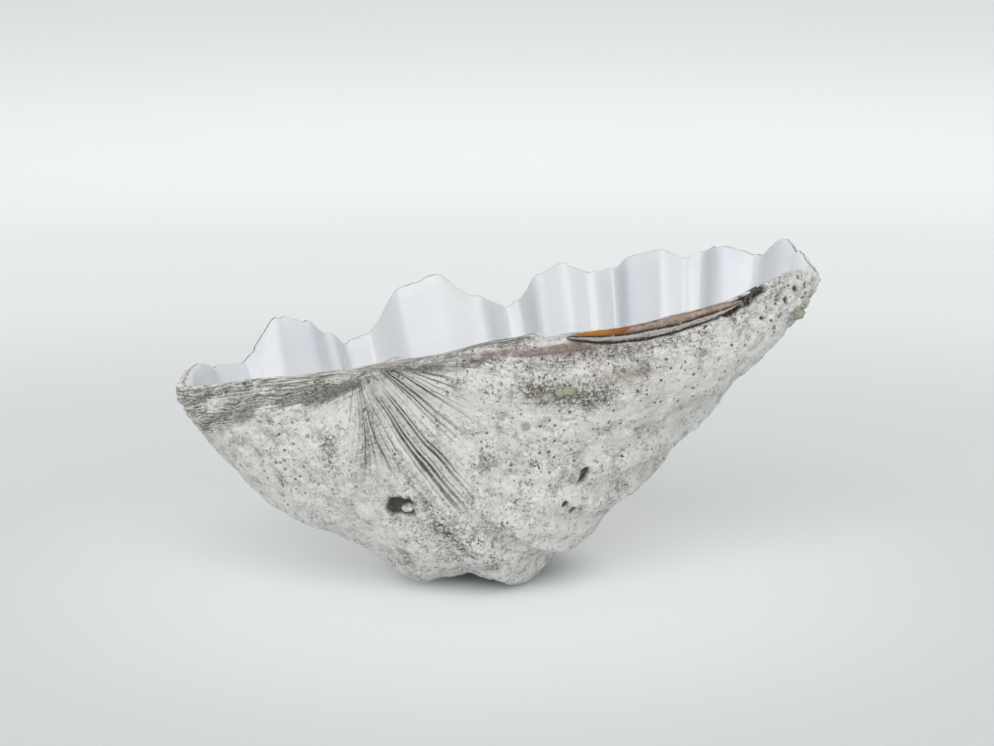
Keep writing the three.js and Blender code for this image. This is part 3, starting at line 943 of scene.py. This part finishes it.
def shell_finish(colours):
    """Chalky, stained and bored outside; smooth porcelain inside; one grown surface."""
    finish = Finish("chalky_shell", colours.chalk)
    place, coat, noise = finish.place, finish.coat, finish.noise
    step, times, plus = finish.step, finish.times, finish.plus
    broad = noise(place, 11, 5, 0.6)
    cloud = noise(place, 42, 6, 0.65, 0.4)
    mottle = noise(place, 130, 6, 0.7, 0.7)
    grain = noise(place, 330, 5, 0.75, 0.4)
    speck = noise(place, 900, 3, 0.7)
    flecks = noise(finish.stretched(place, (1.0, 1.0, 0.7)), 240, 3, 0.5, 1.5)
    crumbs = noise(finish.flow(55, 0.16), 1.0, 5, 0.7, 1.2)
    laminae = noise(finish.flow(34, 0.62), 1.0, 4, 0.6, 0.6)
    lamellae = noise(finish.flow(30, 0.27), 1.0, 4, 0.6, 1.0)
    inside = finish.tint("inside")
    before_lip = step(inside, 0.24, 0.06)
    layered, banded, ribbed = (
        times(finish.tint(name), before_lip) for name in ("layered", "banded", "ribbed"))
    grimy, chalky, spotted = finish.tint("grimy"), finish.tint("chalky"), finish.tint("spotted")
    hollow, bored, stain_and_shadow = finish.tint("hollow"), finish.tint("bored"), finish.tint("stain_and_shadow")
    dirt = plus(0.5, times(grimy, 0.5), times(stain_and_shadow, 0.5), times(chalky, -0.4))

    # broad tone: grey where grimy, white where the chalk is clean
    tone = plus(times(grimy, 0.4), times(stain_and_shadow, 0.3), times(chalky, -0.45),
                times(broad, 0.8), times(cloud, 0.7), -0.25)
    coat(step(tone, 0.3, 0.85), colours.weathered)

    # flecks on it, partly the chalk's own and partly painted shade in the small hollows and painted highlight
    # on the small peaks of the fine relief; dirt spreads the dark ones
    spread = plus(times(dirt, 0.1), times(cloud, 0.32), times(ribbed, -0.04), -0.15)
    mottled, grained = plus(mottle, spread), plus(grain, spread)
    coat(times(step(mottled, 0.6, 0.65), 0.6), colours.shadowed)
    coat(times(step(mottle, 0.49, 0.41), 0.85), colours.bright)
    coat(times(step(grain, 0.47, 0.41), 0.8), colours.bright)
    coat(times(step(grained, 0.61, 0.65), 0.6), colours.shadowed)
    coat(step(grained, 0.68, 0.73), colours.grime_and_shade)
    coat(times(step(plus(crumbs, spread), 0.69, 0.73), before_lip), colours.grime_and_shade)
    coat(step(plus(flecks, spread), 0.72, 0.75), colours.dark)
    coat(times(step(plus(speck, spread), 0.75, 0.8), 0.9), colours.dark)

    # layers and the laminated rim, with painted shade in the gaps between the lamellae
    line = times(step(laminae, 0.5, 0.58), banded)
    lamella_gap_shade = times(step(lamellae, 0.6, 0.64), layered)
    coat(times(banded, 0.6), colours.rim)
    coat(times(line, 0.62), colours.dark)
    coat(times(step(laminae, 0.45, 0.37), banded, 0.6), colours.chalk)
    coat(times(lamella_gap_shade, step(mottle, 0.42, 0.54), 0.52), colours.grime_and_shade)

    # riblets, with fainter ones between them
    angle = plus(finish.tint("fan"), times(mottle, 0.5), -0.25)
    marked = times(step(riblet_lines(finish, angle), 0.2, 0.7), ribbed, step(grain, 0.34, 0.5, 0.5, 1.0))
    between = noise(finish.joined(times(angle, 0.8)), 1.0, 2.0, 0.7)
    faint = times(step(between, 0.6, 0.68), ribbed, step(mottle, 0.42, 0.56))
    coat(times(step(between, 0.5, 0.42), ribbed, 0.85), colours.bright)
    # painted shade along the broad grooves round the riblets
    coat(times(finish.tint("valley_shade"), 0.4), colours.shadowed)
    coat(times(faint, 0.6), colours.grime_and_shade)
    coat(times(marked, 0.9), colours.dark)

    # stains, among them painted shadows
    patchy = step(cloud, 0.38, 0.6)
    coat(times(stain_and_shadow, step(grain, 0.46, 0.56), 0.8), colours.grime_and_shade)
    coat(times(finish.tint("rosy"), step(mottle, 0.34, 0.52, 0.65, 1.0)), colours.rosy)
    coat(times(finish.tint("mossy"), patchy, 0.7), colours.moss)
    coat(times(step(broad, 0.52, 0.66), patchy, 0.25), colours.ochre)

    # spots and borings
    brown_spots = finish.spots(place, 54, 0.24, 0.34)
    small_spots = finish.spots(place, 115, 0.24, 0.26)
    pricks = finish.spots(place, 220, 0.32, 0.2)
    coat(times(brown_spots, spotted, 0.75), colours.spot)
    coat(times(small_spots, plus(0.3, times(spotted, 0.6))), colours.spot)
    coat(times(pricks, plus(0.4, times(spotted, 0.5))), colours.dark)
    # painted shade and dirt in the pits, pricks and gaps between layers
    coat(times(hollow, step(grain, 0.34, 0.54), 0.85), colours.grime_and_shade)
    coat(times(bored, step(mottle, 0.36, 0.5, 0.85, 1.0)), colours.boring)
    coat(times(finish.tint("socket"), step(mottle, 0.4, 0.54, 0.7, 1.0)), colours.ligament_dark)

    # porcelain inside, up to a ragged line on the lip
    sheen = noise(finish.along_growth((26, 2.2, 1)), 1.0, 3, 0.5)
    lined = noise(finish.along_growth((4, 70, 1)), 1.0, 3, 0.5)
    porcelain = finish.mix(step(sheen, 0.4, 0.64), colours.porcelain, colours.porcelain_cool)
    porcelain = finish.mix(times(step(lined, 0.52, 0.7), 0.2), porcelain, colours.porcelain_shade)
    porcelain = finish.mix(times(step(broad, 0.5, 0.72), 0.4), porcelain, colours.porcelain_warm)
    ragged = step(plus(inside, times(mottle, 0.5)), 0.76, 0.92)
    coat(ragged, porcelain)
    roughness = step(ragged, 0.0, 1.0, step(grain, 0.3, 0.7, 0.78, 0.95), step(lined, 0.3, 0.7, 0.36, 0.46))

    # fine relief below the mesh's own
    height = plus(
        times(mottle, -1.1), times(grain, -0.8), times(speck, -0.2), times(crumbs, -0.6),
        times(marked, -0.7), times(faint, -0.35), times(line, -0.45), times(lamella_gap_shade, -0.4),
        times(brown_spots, spotted, -0.25), times(small_spots, -0.3), times(pricks, -0.5),
    )
    chalk_height = times(height, finish.math("SUBTRACT", 1.0, ragged))
    shallow = plus(chalk_height, times(lined, ragged, 0.05), times(sheen, ragged, 0.1))
    return finish.done(roughness, shallow, 3.0 * MM)


def ligament_finish(colours):
    """Dry horn in fine layers: brown ribbons, a pale flaking layer between them, amber at the thin end."""
    finish = Finish("dried_ligament", colours.ligament)
    coat, step, times, plus = finish.coat, finish.step, finish.times, finish.plus
    across, along = finish.tint("across"), finish.tint("along")
    fibres = finish.noise(finish.along_growth((11, 52, 1)), 1.0, 6, 0.7, 0.6)
    flakes = finish.noise(finish.place, 210, 5, 0.7)
    waver = finish.noise(finish.along_growth((9, 0.7, 1)), 1.0, 5, 0.7)
    finish.colour = finish.ramp(plus(across, times(waver, 0.36), -0.18), (
        (0.0, colours.ligament_dark), (0.12, colours.ligament_dark), (0.2, colours.ligament_pale),
        (0.42, colours.ligament_pale), (0.5, colours.ligament_dark), (0.56, colours.ligament_dark),
        (0.66, colours.ligament), (0.82, colours.ligament_light), (0.95, colours.ligament),
        (1.0, colours.ligament_light),
    ))
    coat(times(step(fibres, 0.5, 0.64), 0.65), colours.ligament_dark)
    coat(times(step(flakes, 0.54, 0.64), 0.55), colours.ligament_pale)
    coat(times(step(flakes, 0.44, 0.36), 0.5), colours.ligament_dark)
    amber_zone = times(step(along, 0.62, 0.67), step(along, 0.97, 0.94), step(across, 0.6, 0.7))
    amber = finish.mix(step(along, 0.86, 0.66), colours.amber, colours.amber_deep)
    amber = finish.mix(times(step(fibres, 0.5, 0.66), 0.5), amber, colours.amber_deep)
    coat(amber_zone, amber)
    height = plus(times(fibres, 1.0), times(flakes, 0.4))
    return finish.done(step(amber_zone, 0.0, 1.0, 0.62, 0.2), height, 1.4 * MM)


def crust_finish(colours):
    """Limy growths on the shell, a little green."""
    finish = Finish("limy_crust", colours.moss)
    coat, step = finish.coat, finish.step
    bumps = finish.noise(finish.place, 180, 6, 0.7)
    grain = finish.noise(finish.place, 620, 4, 0.7)
    coat(step(bumps, 0.42, 0.7), colours.shadowed)
    coat(finish.times(step(grain, 0.54, 0.7), 0.6), colours.grime_and_shade)
    coat(finish.spots(finish.place, 260, 0.24, 0.3), colours.dark)
    height = finish.plus(bumps, finish.times(grain, 0.4))
    return finish.done(step(grain, 0.3, 0.7, 0.75, 0.95), height, 1.5 * MM)


# The paper glows, painted light that lightens the shell's shadow, but not where the shell stands: middle of
# that place and its reach.
GLOW_HOLE_AT = (-0.01, -0.04, 0.0)
GLOW_HOLE, GLOW_FULL = 0.03, 0.13
# Near the shell the painted glow is stronger, to thin out the shell's wide shadow.
GLOW_MORE, GLOW_NEAR, GLOW_FAR = 1.8, 0.18, 0.6
# Far behind the shell the painted glow grows again.
BACK_GLOW, BACK_GLOW_FROM, BACK_GLOW_TO = 1.6, 0.8, 2.1


def floor_finish(colours, glow_strength):
    """Pale matt paper with the faintest cloud in it, painted shade where it curves up and a painted glow
    round the shell.
    """
    finish = Finish("studio_paper", colours.paper)
    step = finish.step
    finish.coat(step(finish.noise(finish.place, 0.7, 3, 0.5), 0.3, 0.7), colours.paper_cool)
    # painted shade: the paper darkens as it curves up into the cove
    finish.coat(step(finish.split(finish.place)[2], 0.05, 0.7), colours.paper_cove_shade)
    node = finish.tree.nodes.new("ShaderNodeVectorMath")
    node.operation = "DISTANCE"
    finish.feed(node.inputs[0], finish.stretched(finish.place, (1.0, 1.0, 0.0)))
    node.inputs[1].default_value = GLOW_HOLE_AT
    away = node.outputs["Value"]
    hole = step(away, GLOW_HOLE, GLOW_FULL, 0.0, glow_strength)
    shadow_lightening_glow = step(away, GLOW_FAR, GLOW_NEAR, 1.0, GLOW_MORE)
    back_glow = step(away, BACK_GLOW_FROM, BACK_GLOW_TO, 1.0, BACK_GLOW)
    # painted light: the paper itself glows, least under the shell, more round it and far behind it
    finish.feed(finish.shader.inputs["Emission Color"], grey(1.0))
    finish.feed(finish.shader.inputs["Emission Strength"], finish.times(hole, shadow_lightening_glow, back_glow))
    fibre = finish.noise(finish.place, 900, 3, 0.6)
    return finish.done(step(fibre, 0.2, 0.8, 0.85, 0.95), fibre, 0.05 * MM)


# ---------------------------------------------------------------- settings a user would change

def colour_setting(name, description, red, green, blue):
    """A colour setting; the three numbers are 0 to 255 as a screen shows them."""
    linear = [((c / 255 + 0.055) / 1.055) ** 2.4 if c > 10.3 else c / 3294.6 for c in (red, green, blue)]
    return bpy.props.FloatVectorProperty(
        name=name, description=description, subtype="COLOR", size=4, min=0.0, max=1.0, default=(*linear, 1.0))


class ClamShellSizes(bpy.types.PropertyGroup):
    """Fineness of the meshes."""

    valve_columns: bpy.props.IntProperty(
        name="Valve columns", description="Steps of the valve's grid round its margin", default=900, min=200)
    valve_rows: bpy.props.IntProperty(
        name="Valve rows", description="Steps of the valve's grid from beak to lip and back",
        default=400, min=100)
    valve_triangles: bpy.props.IntProperty(
        name="Valve triangles", description="Triangles left on the valve where they matter most",
        default=192000)
    ligament_columns: bpy.props.IntProperty(
        name="Ligament columns", description="Steps along the ligament", default=260, min=60)
    ligament_rows: bpy.props.IntProperty(
        name="Ligament rows", description="Steps round the ligament", default=50, min=20)


class ClamShellColours(bpy.types.PropertyGroup):
    """Colours of the shell, its ligament and the studio."""

    chalk: colour_setting("Chalk", "Clean chalky outside", 250, 248, 244)
    # Worn chalk, also used as painted highlight on the small peaks of the fine relief.
    bright: colour_setting("Bright chalk", "Worn bright flecks of the outside", 252, 251, 249)
    weathered: colour_setting("Weathered", "Grey weathered outside", 228, 225, 220)
    # Also used as painted shade along the broad riblet grooves.
    shadowed: colour_setting("Shadowed", "Darker clouds of the outside", 182, 179, 174)
    # Dark grey of dirt flecks and stains, also used as painted shade in the hollows.
    grime_and_shade: colour_setting("Grime", "Dirt in the hollows", 120, 117, 109)
    dark: colour_setting("Dark lines", "Riblet grooves and pricks", 76, 73, 67)
    spot: colour_setting("Spots", "Brown round scars of borers", 116, 104, 96)
    boring: colour_setting("Borings", "Inside of the large borings", 84, 79, 71)
    rosy: colour_setting("Rosy", "Brownish pink stain by the hinge", 152, 127, 118)
    rim: colour_setting("Laminated rim", "Grey-green edge of the front rim", 186, 185, 175)
    moss: colour_setting("Moss", "Faint green stain", 150, 151, 126)
    ochre: colour_setting("Ochre", "Faint warm stain", 196, 190, 170)
    porcelain: colour_setting("Porcelain", "Inside of the valve", 213, 215, 216)
    porcelain_cool: colour_setting("Cool porcelain", "Lavender flush of the inside", 206, 208, 215)
    porcelain_warm: colour_setting("Warm porcelain", "Cream flush of the inside", 214, 214, 208)
    porcelain_shade: colour_setting("Porcelain shade", "Growth lines of the inside", 202, 205, 210)
    ligament: colour_setting("Ligament", "Brown ribbons", 150, 128, 114)
    ligament_light: colour_setting("Light ligament", "Tan edge of the upper ribbon", 186, 164, 147)
    ligament_dark: colour_setting("Dark ligament", "Cracks between the ribbons", 58, 51, 46)
    ligament_pale: colour_setting("Pale layer", "Flaking layer between the ribbons", 206, 199, 193)
    amber: colour_setting("Amber", "Clear thin end of the ligament", 198, 132, 40)
    amber_deep: colour_setting("Deep amber", "Thicker amber", 150, 84, 28)
    paper: colour_setting("Paper", "Studio paper", 188, 192, 191)
    # Painted shade of the paper where it curves up.
    paper_cove_shade: colour_setting("Far paper", "Paper where it curves up", 154, 159, 159)
    paper_cool: colour_setting("Cool paper", "Cooler cloud of the paper", 185, 192, 192)


class ClamShellStage(bpy.types.PropertyGroup):
    """Camera, paper and light."""

    distance: bpy.props.FloatProperty(
        name="Camera distance", description="From the point looked at", default=1.9, unit="LENGTH")
    elevation: bpy.props.FloatProperty(
        name="Camera elevation", description="Above the horizontal",
        default=math.radians(10.5), unit="ROTATION")
    aim: bpy.props.FloatVectorProperty(
        name="Point looked at", description="In the frame of the shell",
        default=(-0.0035, 0.0, 0.1945), unit="LENGTH")
    lens: bpy.props.FloatProperty(name="Lens", description="Focal length in mm", default=67.0)
    floor_radius: bpy.props.FloatProperty(
        name="Paper radius", description="Flat part of the paper round the shell", default=3.2, unit="LENGTH")
    cove_radius: bpy.props.FloatProperty(
        name="Cove radius", description="Where the paper curves up", default=1.6, unit="LENGTH")
    wall_height: bpy.props.FloatProperty(
        name="Paper height", description="Top of the paper above the cove", default=0.2, unit="LENGTH")
    daylight: bpy.props.FloatProperty(name="Daylight", description="Strength of the even light", default=0.57)
    # Painted light: the paper itself glows; no lamp lies under it.
    paper_glow: bpy.props.FloatProperty(
        name="Paper glow", description="Strength of the light that comes up through the paper", default=0.16)
    key_strength: bpy.props.FloatProperty(
        name="Key light", description="Strength of the broad light from the front, upper left", default=2.35)
    key_spread: bpy.props.FloatProperty(
        name="Key spread", description="Angle the broad light comes from",
        default=math.radians(62), unit="ROTATION")
    key_height: bpy.props.FloatProperty(
        name="Key height", description="Angle of the broad light above the floor",
        default=math.radians(38), unit="ROTATION")
    key_side: bpy.props.FloatProperty(
        name="Key side", description="Angle of the broad light to the left of the camera",
        default=math.radians(3), unit="ROTATION")


# ---------------------------------------------------------------- operators

def settings():
    scene = bpy.context.scene
    return scene.clam_sizes, scene.clam_colours, scene.clam_stage


def closed_or_raise(piece):
    """Raises an error if the piece has an open edge."""
    check = bmesh.new()
    check.from_mesh(piece.data)
    open_edges = sum(1 for edge in check.edges if not edge.is_manifold)
    check.free()
    if open_edges:
        raise RuntimeError(f"{piece.name} has {open_edges} edges that aren't shared by two faces")


def bm_object(name, bm):
    """A smooth object of a bmesh, which is freed."""
    for face in bm.faces:
        face.smooth = True
    mesh = bpy.data.meshes.new(name)
    bm.to_mesh(mesh)
    bm.free()
    piece = bpy.data.objects.new(name, mesh)
    bpy.context.scene.collection.objects.link(piece)
    return piece


class CLAM_OT_valve(bpy.types.Operator):
    """Grow the valve with its ribs, growth layers, borings, hinge plate and porcelain inside"""

    bl_idname = "clam.valve"
    bl_label = "Grow Valve"

    def execute(self, context):
        sizes, colours, _ = settings()
        coarse = 1
        columns, rows = sizes.valve_columns // coarse, sizes.valve_rows // coarse
        piece = grid_object("clam_valve", columns, rows, valve_shape)
        thin_out(piece, sizes.valve_triangles)
        closed_or_raise(piece)
        piece.data.materials.append(shell_finish(colours))
        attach(piece, "root")
        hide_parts("valve")
        return {"FINISHED"}


class CLAM_OT_ligament(bpy.types.Operator):
    """Lay the dried ligament in its groove behind the beak"""

    bl_idname = "clam.ligament"
    bl_label = "Lay Ligament"

    def execute(self, context):
        sizes, colours, _ = settings()
        piece = grid_object("clam_ligament", sizes.ligament_columns, sizes.ligament_rows, ligament_shape)
        closed_or_raise(piece)
        piece.data.materials.append(ligament_finish(colours))
        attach(piece, "root")
        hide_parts("ligament")
        return {"FINISHED"}


CRUST_SEED = 90
# How far the middle of a limy growth lies below the surface, as a share of its half size.
CRUST_SINK = 0.1
# Limy growths: station, growth, half sizes along the margin, along the ray and outward in mm.
CRUSTS = (
    ((8.16, 0.892), (5, 6, 7)),
    ((8.22, 0.912), (4, 4, 5)),
    ((9.18, 0.488), (4.0, 8.0, 4.2)),
    ((9.16, 0.462), (4.4, 5.0, 5.0)),
    ((9.08, 0.404), (3.4, 4.2, 4.0)),
    ((9.12, 0.425), (2.6, 3.4, 2.8)),
)


def crust_on(bm, at, half, seed):
    """One limy lump, a little over half of it sunk into the shell."""
    u, s = (np.array(value) for value in at)
    centre = plain_outside(u, s)
    along = unit(plain_outside(u, s + 0.004) - centre)
    away = outward(u, s)
    around = np.cross(along, away)
    ball = bmesh.ops.create_icosphere(bm, subdivisions=4, radius=1.0)["verts"]
    for vert in ball:
        direction = np.array(vert.co)
        lump = 1 + 0.22 * rough(direction[None] + seed * 5, 0.9, 3, seed=seed)[0]
        local = direction * lump * np.array(half)
        point = centre + around * local[0] + along * local[1] + away * (local[2] - CRUST_SINK * half[2])
        vert.co = lie(point)


class CLAM_OT_crusts(bpy.types.Operator):
    """Set the few limy growths that cling to the outside"""

    bl_idname = "clam.crusts"
    bl_label = "Set Crusts"

    def execute(self, context):
        _, colours, _ = settings()
        bm = bmesh.new()
        for number, (at, half) in enumerate(CRUSTS):
            crust_on(bm, at, half, CRUST_SEED + number)
        piece = bm_object("clam_crusts", bm)
        piece.data.materials.append(crust_finish(colours))
        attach(piece, "root")
        return {"FINISHED"}


COVE_STEPS = 12
PAPER_ROUND_STEPS = 96
# Radius of the inner ring of the paper, under the shell.
PAPER_INNER = 0.6


def paper_profile(stage):
    """Radius and height along the paper, from the middle of the floor to its top."""
    yield 0.0, 0.0
    yield PAPER_INNER, 0.0
    yield stage.floor_radius, 0.0
    for i in range(1, COVE_STEPS + 1):
        bend = math.pi / 2 * i / COVE_STEPS
        yield (stage.floor_radius + stage.cove_radius * math.sin(bend),
               stage.cove_radius * (1 - math.cos(bend)))
    yield stage.floor_radius + stage.cove_radius, stage.cove_radius + stage.wall_height


def paper_object(stage):
    bm = bmesh.new()
    verts = [bm.verts.new((x, 0.0, z)) for x, z in paper_profile(stage)]
    edges = [bm.edges.new(pair) for pair in zip(verts, verts[1:])]
    bmesh.ops.spin(bm, geom=verts + edges, cent=(0, 0, 0), axis=(0, 0, 1), angle=math.tau,
                   steps=PAPER_ROUND_STEPS, use_merge=True)
    bmesh.ops.remove_doubles(bm, verts=bm.verts, dist=1e-5)
    bmesh.ops.recalc_face_normals(bm, faces=bm.faces)
    bm.normal_update()
    middle = min(bm.faces, key=lambda face: face.calc_center_median().length)
    if middle.normal.z < 0:
        bmesh.ops.reverse_faces(bm, faces=bm.faces)
    return bm_object("studio_paper", bm)


def white_world(strength):
    """Even white light from all round."""
    world = bpy.data.worlds.new("daylight")
    world.use_nodes = True
    background = world.node_tree.nodes["Background"]
    background.inputs["Color"].default_value = grey(1.0)
    background.inputs["Strength"].default_value = strength
    return world


def key_lamp(stage):
    """The broad light."""
    light = bpy.data.lights.new("key_light", "SUN")
    light.energy = stage.key_strength
    light.angle = stage.key_spread
    lamp = bpy.data.objects.new("key_light", light)
    lamp.rotation_euler = (math.pi / 2 - stage.key_height, 0.0, -stage.key_side)
    return lamp


def camera_object(stage):
    data = bpy.data.cameras.new("camera")
    data.lens = stage.lens
    camera = bpy.data.objects.new("camera", data)
    back = stage.distance * math.cos(stage.elevation)
    up = stage.distance * math.sin(stage.elevation)
    aim = stage.aim
    camera.location = (aim[0], aim[1] - back, aim[2] + up)
    camera.rotation_euler = (math.pi / 2 - stage.elevation, 0.0, 0.0)
    return camera


class CLAM_OT_stage(bpy.types.Operator):
    """Spread the studio paper, hang the soft lights and set the camera"""

    bl_idname = "clam.stage"
    bl_label = "Set Stage"

    def execute(self, context):
        _, colours, stage = settings()
        scene = context.scene
        paper = paper_object(stage)
        paper.data.materials.append(floor_finish(colours, stage.paper_glow))
        scene.world = white_world(stage.daylight)
        scene.collection.objects.link(key_lamp(stage))
        camera = camera_object(stage)
        scene.collection.objects.link(camera)
        scene.camera = camera
        scene.view_settings.view_transform = "Standard"
        return {"FINISHED"}


class CLAM_PT_panel(bpy.types.Panel):
    """Everything that makes the shell"""

    bl_idname = "CLAM_PT_panel"
    bl_label = "Clam Shell"
    bl_space_type = "VIEW_3D"
    bl_region_type = "UI"
    bl_category = "Clam Shell"

    def draw(self, context):
        for group in settings():
            box = self.layout.box()
            for name in group.__annotations__:
                box.prop(group, name)
        for operator in OPERATORS:
            self.layout.operator(operator.bl_idname)


OPERATORS = (CLAM_OT_stage, CLAM_OT_valve, CLAM_OT_ligament, CLAM_OT_crusts)
CLASSES = (ClamShellSizes, ClamShellColours, ClamShellStage, *OPERATORS, CLAM_PT_panel)


def register():
    for cls in CLASSES:
        bpy.utils.register_class(cls)
    bpy.types.Scene.clam_sizes = bpy.props.PointerProperty(type=ClamShellSizes)
    bpy.types.Scene.clam_colours = bpy.props.PointerProperty(type=ClamShellColours)
    bpy.types.Scene.clam_stage = bpy.props.PointerProperty(type=ClamShellStage)


def unregister():
    del bpy.types.Scene.clam_stage
    del bpy.types.Scene.clam_colours
    del bpy.types.Scene.clam_sizes
    for cls in reversed(CLASSES):
        bpy.utils.unregister_class(cls)


def main():
    register()
    bpy.ops.clam.stage()
    bpy.ops.clam.valve()
    bpy.ops.clam.ligament()
    bpy.ops.clam.crusts()


if __name__ == "__main__":
    main()
